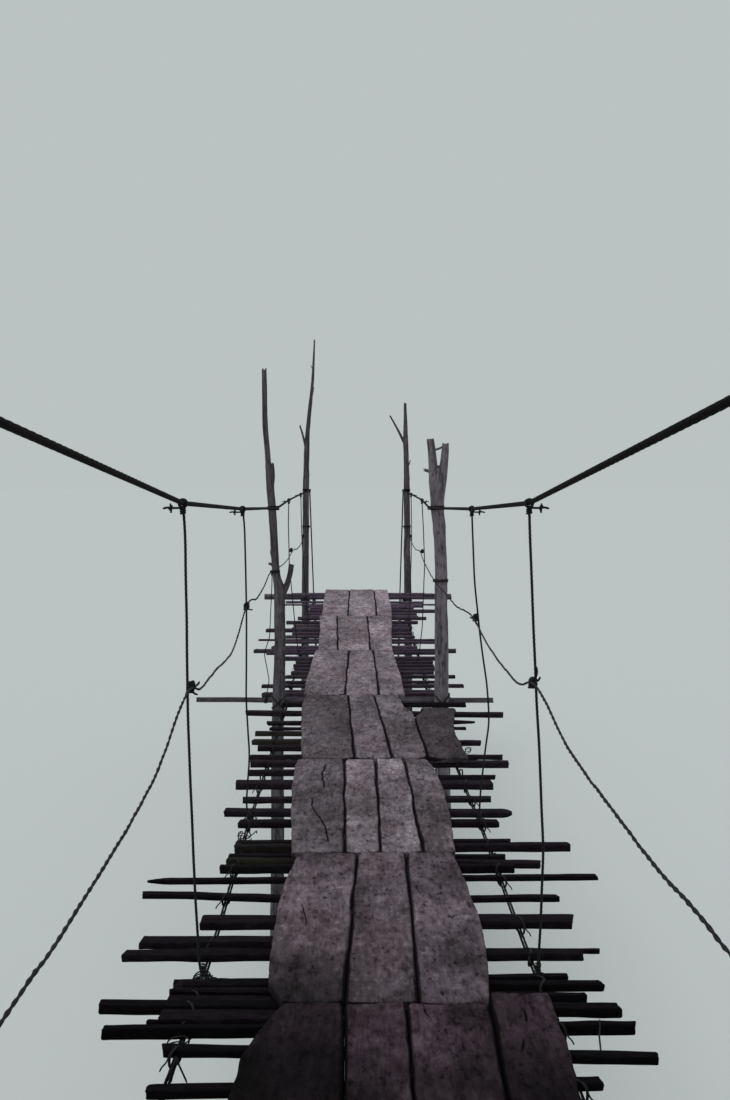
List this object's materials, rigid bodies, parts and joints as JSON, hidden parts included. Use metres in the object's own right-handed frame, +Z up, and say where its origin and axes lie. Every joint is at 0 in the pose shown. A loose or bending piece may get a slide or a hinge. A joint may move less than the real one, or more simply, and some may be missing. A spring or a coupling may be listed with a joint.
{
  "type": "rope suspension footbridge",
  "caption": "Narrow suspension footbridge on rough forked poles, with cable handrails, wire hangers, split cross slats and rows of worn planks.",
  "frame": {"origin": "on the ground, under the middle of the bridge's overall box", "axes": "+Y along the bridge away from the picture's viewpoint, +X to the right, +Z up"},
  "size_m": [2.2, 17.6362, 4.65],
  "materials": {
    "plank_wood": "weathered grey, bare, cracked",
    "slat_wood": "split, bare, dark with damp",
    "pole_bark": "rough bark and bare wood",
    "crossbeam_bark": "rough bark",
    "anchor_wood": "bare, sawn and weathered",
    "cable_steel": "dark stranded wire rope, dull",
    "hanger_wire": "dark wire, dull with rust",
    "side_rope": "thin twisted cord, grey"
  },
  "bodies": {
    "root": {"far_crossbeam": "crossbeam_bark", "far_left_anchor_post": "anchor_wood", "far_left_pole": "pole_bark", "far_right_anchor_post": "anchor_wood", "far_right_pole": "pole_bark", "left_deck_cable": "cable_steel", "left_hand_cable": "cable_steel", "left_hanger_1": "hanger_wire", "left_hanger_2": "hanger_wire", "left_hanger_3": "hanger_wire", "left_hanger_4": "hanger_wire", "left_side_rope": "side_rope", "left_tie_wire": "hanger_wire", "middle_crossbeam": "crossbeam_bark", "middle_left_pole": "pole_bark", "middle_right_pole": "pole_bark", "near_crossbeam": "crossbeam_bark", "near_left_anchor_post": "anchor_wood", "near_left_pole": "pole_bark", "near_right_anchor_post": "anchor_wood", "near_right_pole": "pole_bark", "plank_row_1": "plank_wood", "plank_row_2": "plank_wood", "plank_row_3": "plank_wood", "plank_row_4": "plank_wood", "plank_row_5": "plank_wood", "plank_row_6": "plank_wood", "plank_row_7": "plank_wood", "right_deck_cable": "cable_steel", "right_hand_cable": "cable_steel", "right_hanger_1": "hanger_wire", "right_hanger_2": "hanger_wire", "right_hanger_3": "hanger_wire", "right_hanger_4": "hanger_wire", "right_side_rope": "side_rope", "slats_bay_1": "slat_wood", "slats_bay_2": "slat_wood", "slats_bay_3": "slat_wood", "slats_bay_4": "slat_wood", "slats_bay_5": "slat_wood", "slats_bay_6": "slat_wood"}
  },
  "joints": []
}
